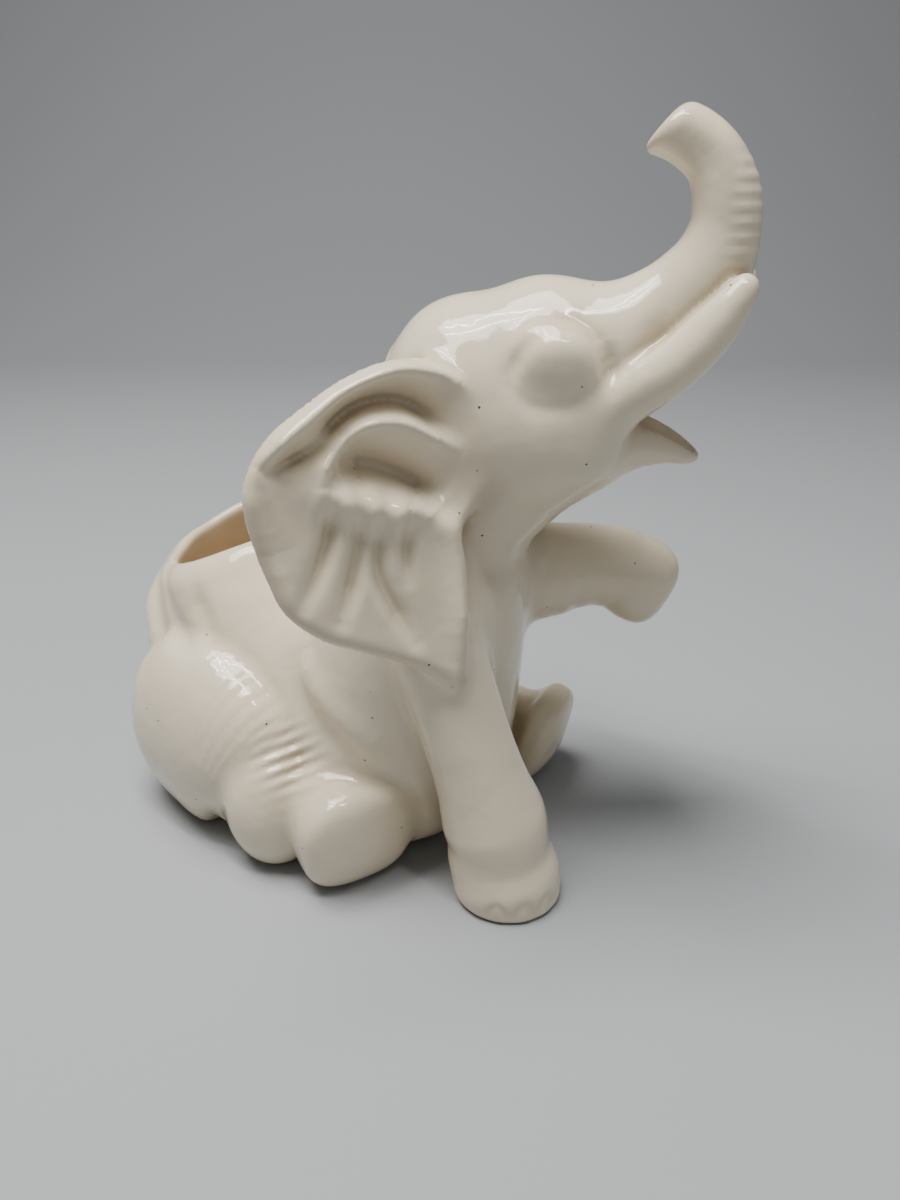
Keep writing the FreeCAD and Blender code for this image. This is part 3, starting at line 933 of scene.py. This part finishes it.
def sweep(size, height, radius, turn):
    """Floor and backdrop in one sheet: flat, a quarter circle of the radius, then straight up.

    The profile is a function of its length, carried sideways on a grid and turned about the vertical.
    """
    arc = radius * math.pi / 2
    far = size * SWEEP_BACK
    flat_rows, arc_rows, wall_rows = SWEEP_ROWS
    length = np.concatenate([np.linspace(-size, far, flat_rows), far + np.linspace(0, arc, arc_rows)[1:],
                             far + arc + np.linspace(0, height - radius, wall_rows)[1:]])
    bend = np.clip((length - far) / radius, 0, math.pi / 2)
    depth = np.minimum(length, far) + radius * np.sin(bend)
    rise = radius * (1 - np.cos(bend)) + np.maximum(length - far - arc, 0)
    across = np.linspace(-size, size, SWEEP_COLUMNS)
    u, v = np.meshgrid(np.arange(len(length)), across, indexing="ij")
    flat = np.stack([v, depth[u], rise[u]], -1).reshape(-1, 3)
    spin = np.array([[math.cos(turn), -math.sin(turn), 0], [math.sin(turn), math.cos(turn), 0], [0, 0, 1]])
    points = flat @ spin.T
    rows, columns = len(length), len(across)
    first = (np.arange(rows - 1)[:, None] * columns + np.arange(columns - 1)).ravel()
    faces = np.stack([first, first + 1, first + columns + 1, first + columns], 1)
    mesh = bpy.data.meshes.new("sweep")
    mesh.from_pydata(points.tolist(), [], faces.tolist())
    mesh.shade_smooth()
    backdrop = bpy.data.objects.new("sweep", mesh)
    bpy.context.scene.collection.objects.link(backdrop)
    return backdrop


def soft_light(name, place, aim, size, watts, colour=(1, 1, 1)):
    """A rectangular soft light aimed at a point."""
    light = bpy.data.lights.new(name, "AREA")
    light.shape = "RECTANGLE"
    light.size, light.size_y = size
    light.energy = watts
    light.color = colour
    lamp = bpy.data.objects.new(name, light)
    lamp.location = place
    lamp.rotation_mode = "QUATERNION"
    lamp.rotation_quaternion = (Vector(place) - Vector(aim)).to_track_quat("Z", "Y")
    bpy.context.scene.collection.objects.link(lamp)


VIEW_TURN, VIEW_RISE = math.radians(40), math.radians(25)
VIEW_PLACE = (0.1892, -0.1828, 0.1891)
VIEW_LENS, VIEW_SENSOR = 28, 36  # mm


def stage_camera():
    """Camera looking down on the elephant from its front right."""
    lens = bpy.data.cameras.new("camera")
    lens.lens, lens.sensor_width = VIEW_LENS, VIEW_SENSOR
    camera = bpy.data.objects.new("camera", lens)
    camera.location = VIEW_PLACE
    back = Vector((math.sin(VIEW_TURN) * math.cos(VIEW_RISE), -math.cos(VIEW_TURN) * math.cos(VIEW_RISE),
                   math.sin(VIEW_RISE)))
    camera.rotation_mode = "QUATERNION"
    camera.rotation_quaternion = (-back).to_track_quat("-Z", "Y")
    bpy.context.scene.collection.objects.link(camera)
    bpy.context.scene.camera = camera


# Add-on ---------------------------------------------------------------------------------------------

class ElephantForm(bpy.types.PropertyGroup):
    """Sizes of the cast figure."""
    wall: bpy.props.FloatProperty(
        name="Wall", description="Thickness of the planter's wall at its rim", default=0.0064, min=0.002,
        max=0.012, subtype="DISTANCE", unit="LENGTH")
    rim_height: bpy.props.FloatProperty(
        name="Rim height", description="Height of the planter's rim where it is highest", default=0.0878,
        min=0.07, max=0.1, subtype="DISTANCE", unit="LENGTH")
    grid_step: bpy.props.FloatProperty(
        name="Grid step", description="Spacing of the grid that the skin is taken from", default=0.0009,
        min=0.0006, max=0.003, subtype="DISTANCE", unit="LENGTH")


class ElephantGlaze(bpy.types.PropertyGroup):
    """Colours and finish of the glaze and the clay."""
    warm: bpy.props.FloatVectorProperty(
        name="Warm glaze", description="Glaze where it fired warmer", default=(0.80, 0.69, 0.51), size=3,
        min=0, max=1, subtype="COLOR")
    cool: bpy.props.FloatVectorProperty(
        name="Cool glaze", description="Glaze where it fired cooler", default=(0.75, 0.67, 0.52), size=3,
        min=0, max=1, subtype="COLOR")
    # Colour of the painted shade in the creases.
    painted_crease_shade: bpy.props.FloatVectorProperty(
        name="Painted crease shade", description="Painted shade darkening the creases", default=(0.56, 0.47, 0.33),
        size=3, min=0, max=1, subtype="COLOR")
    clay: bpy.props.FloatVectorProperty(
        name="Bare clay", description="Fired clay inside the well", default=(0.82, 0.68, 0.48), size=3,
        min=0, max=1, subtype="COLOR")
    speck: bpy.props.FloatVectorProperty(
        name="Speck", description="Iron specks and pinholes", default=(0.09, 0.07, 0.055), size=3, min=0,
        max=1, subtype="COLOR")
    speck_size: bpy.props.FloatProperty(
        name="Speck size", description="Radius of a speck as a share of its cell", default=0.045, min=0,
        max=0.3, subtype="FACTOR")
    roughness: bpy.props.FloatProperty(
        name="Roughness", description="Roughness of the glaze", default=0.085, min=0, max=1,
        subtype="FACTOR")
    ripple: bpy.props.FloatProperty(
        name="Ripple", description="Depth of the slow ripple in the glaze", default=0.0006, min=0,
        max=0.002, subtype="DISTANCE", unit="LENGTH")


class ElephantStage(bpy.types.PropertyGroup):
    """Floor, backdrop and light."""
    size: bpy.props.FloatProperty(
        name="Size", description="Half width of the floor", default=1.6, min=0.5, max=5,
        subtype="DISTANCE", unit="LENGTH")
    paper: bpy.props.FloatVectorProperty(
        name="Paper", description="Colour of the floor and backdrop", default=(0.36, 0.375, 0.39), size=3,
        min=0, max=1, subtype="COLOR")
    strength: bpy.props.FloatProperty(
        name="Strength", description="Brightness of the lights as a share of the usual", default=1.0, min=0,
        max=4, subtype="FACTOR")


class PieceOperator:
    """Shared body of the operators that build pieces."""
    bl_options = {"REGISTER", "UNDO"}
    nodes = ()

    def execute(self, context):
        build_pieces(self.nodes)
        return {"FINISHED"}


class ELEPHANT_OT_torso(PieceOperator, bpy.types.Operator):
    """Builds the body with its open well"""
    bl_idname = "elephant.torso"
    bl_label = "Torso"
    nodes = ("torso",)


class ELEPHANT_OT_head(PieceOperator, bpy.types.Operator):
    """Builds the skull with its closed eyes"""
    bl_idname = "elephant.head"
    bl_label = "Head"
    nodes = ("head",)


class ELEPHANT_OT_trunk(PieceOperator, bpy.types.Operator):
    """Builds the raised trunk"""
    bl_idname = "elephant.trunk"
    bl_label = "Trunk"
    nodes = ("trunk",)


class ELEPHANT_OT_jaw(PieceOperator, bpy.types.Operator):
    """Builds the open lower jaw"""
    bl_idname = "elephant.jaw"
    bl_label = "Lower jaw"
    nodes = ("lower_jaw",)


class ELEPHANT_OT_tusks(PieceOperator, bpy.types.Operator):
    """Builds both tusks"""
    bl_idname = "elephant.tusks"
    bl_label = "Tusks"
    nodes = ("right_tusk", "left_tusk")


class ELEPHANT_OT_ears(PieceOperator, bpy.types.Operator):
    """Builds both ears with their folds"""
    bl_idname = "elephant.ears"
    bl_label = "Ears"
    nodes = ("right_ear", "left_ear")


class ELEPHANT_OT_forelegs(PieceOperator, bpy.types.Operator):
    """Builds the planted and the raised foreleg"""
    bl_idname = "elephant.forelegs"
    bl_label = "Forelegs"
    nodes = ("right_foreleg", "left_foreleg")


class ELEPHANT_OT_hind_legs(PieceOperator, bpy.types.Operator):
    """Builds both hind legs"""
    bl_idname = "elephant.hind_legs"
    bl_label = "Hind legs"
    nodes = ("right_hind_leg", "left_hind_leg")


class ELEPHANT_OT_tail(PieceOperator, bpy.types.Operator):
    """Builds the tail, curled on the rump"""
    bl_idname = "elephant.tail"
    bl_label = "Tail"
    nodes = ("tail",)


AIM = (0, 0, 0.09)  # what the lights point at
WALL_HEIGHT, WALL_BEND = 1.5, 0.5
KEY_PLACE, FILL_PLACE = (-0.2, -0.02, 1.0), (0.9, -0.6, 0.5)  # across the view, away along it, and up
KEY_SIZE, FILL_SIZE = (0.55, 0.55), (0.8, 0.8)
KEY_WATTS, FILL_WATTS, STRIP_WATTS = 13, 0.7, 2.6
KEY_COLOUR = (1, 0.97, 0.93)
STRIP_SIZE, STRIP_PLACE = (0.8, 0.012), (-0.1, 0, 0.95)
STRIP_AWAY = (-0.16, -0.25)  # two narrow lights side by side give the paired highlights
AIR_COLOUR, AIR_STRENGTH = (0.62, 0.64, 0.66, 1), 0.24
PAPER_ROUGHNESS = 0.75


def view_place(right, back, up):
    """A place given by how far it is across the view, away along it, and up."""
    across = Vector((math.cos(VIEW_TURN), math.sin(VIEW_TURN), 0))
    return right * across + back * view_away() + Vector((0, 0, up))


def view_away():
    """The level way that the view looks."""
    return Vector((-math.sin(VIEW_TURN), math.cos(VIEW_TURN), 0))


class ELEPHANT_OT_stage(bpy.types.Operator):
    """Builds the floor, the backdrop, the lights and the camera"""
    bl_idname = "elephant.stage"
    bl_label = "Stage"
    bl_options = {"REGISTER", "UNDO"}

    def execute(self, context):
        stage = context.scene.elephant_stage
        backdrop = sweep(stage.size, WALL_HEIGHT, WALL_BEND, VIEW_TURN)
        backdrop.data.materials.append(plain_material("grey paper", stage.paper, PAPER_ROUGHNESS))
        k = stage.strength
        soft_light("key", view_place(*KEY_PLACE), AIM, KEY_SIZE, KEY_WATTS * k, KEY_COLOUR)
        for row, back in enumerate(STRIP_AWAY):
            place = back * view_away() + Vector(STRIP_PLACE)
            soft_light(f"window strip {row + 1}", place, AIM, STRIP_SIZE, STRIP_WATTS * k)
        soft_light("fill", view_place(*FILL_PLACE), AIM, FILL_SIZE, FILL_WATTS * k)
        world = bpy.data.worlds.new("studio air")
        world.use_nodes = True
        air = world.node_tree.nodes["Background"]
        air.inputs["Color"].default_value = AIR_COLOUR
        air.inputs["Strength"].default_value = AIR_STRENGTH * k
        context.scene.world = world
        stage_camera()
        return {"FINISHED"}


STEPS = (ELEPHANT_OT_torso, ELEPHANT_OT_head, ELEPHANT_OT_trunk, ELEPHANT_OT_jaw, ELEPHANT_OT_tusks,
         ELEPHANT_OT_ears, ELEPHANT_OT_forelegs, ELEPHANT_OT_hind_legs, ELEPHANT_OT_tail, ELEPHANT_OT_stage)
GROUPS = {"elephant_form": ElephantForm, "elephant_glaze": ElephantGlaze, "elephant_stage": ElephantStage}


class ELEPHANT_PT_builder(bpy.types.Panel):
    """Lists the pieces and their sizes and colours"""
    bl_label = "Elephant planter"
    bl_idname = "ELEPHANT_PT_builder"
    bl_space_type = "VIEW_3D"
    bl_region_type = "UI"
    bl_category = "Elephant"

    def draw(self, context):
        for key, group in GROUPS.items():
            box = self.layout.box()
            for name in group.__annotations__:
                box.prop(getattr(context.scene, key), name)
        for step in STEPS:
            self.layout.operator(step.bl_idname)


def register():
    for cls in (*GROUPS.values(), *STEPS, ELEPHANT_PT_builder):
        bpy.utils.register_class(cls)
    for key, group in GROUPS.items():
        setattr(bpy.types.Scene, key, bpy.props.PointerProperty(type=group))


def unregister():
    for key in GROUPS:
        delattr(bpy.types.Scene, key)
    for cls in reversed((*GROUPS.values(), *STEPS, ELEPHANT_PT_builder)):
        bpy.utils.unregister_class(cls)


def main():
    register()
    for step in STEPS:
        space, name = step.bl_idname.split(".")
        getattr(getattr(bpy.ops, space), name)()


if __name__ == "__main__":
    main()
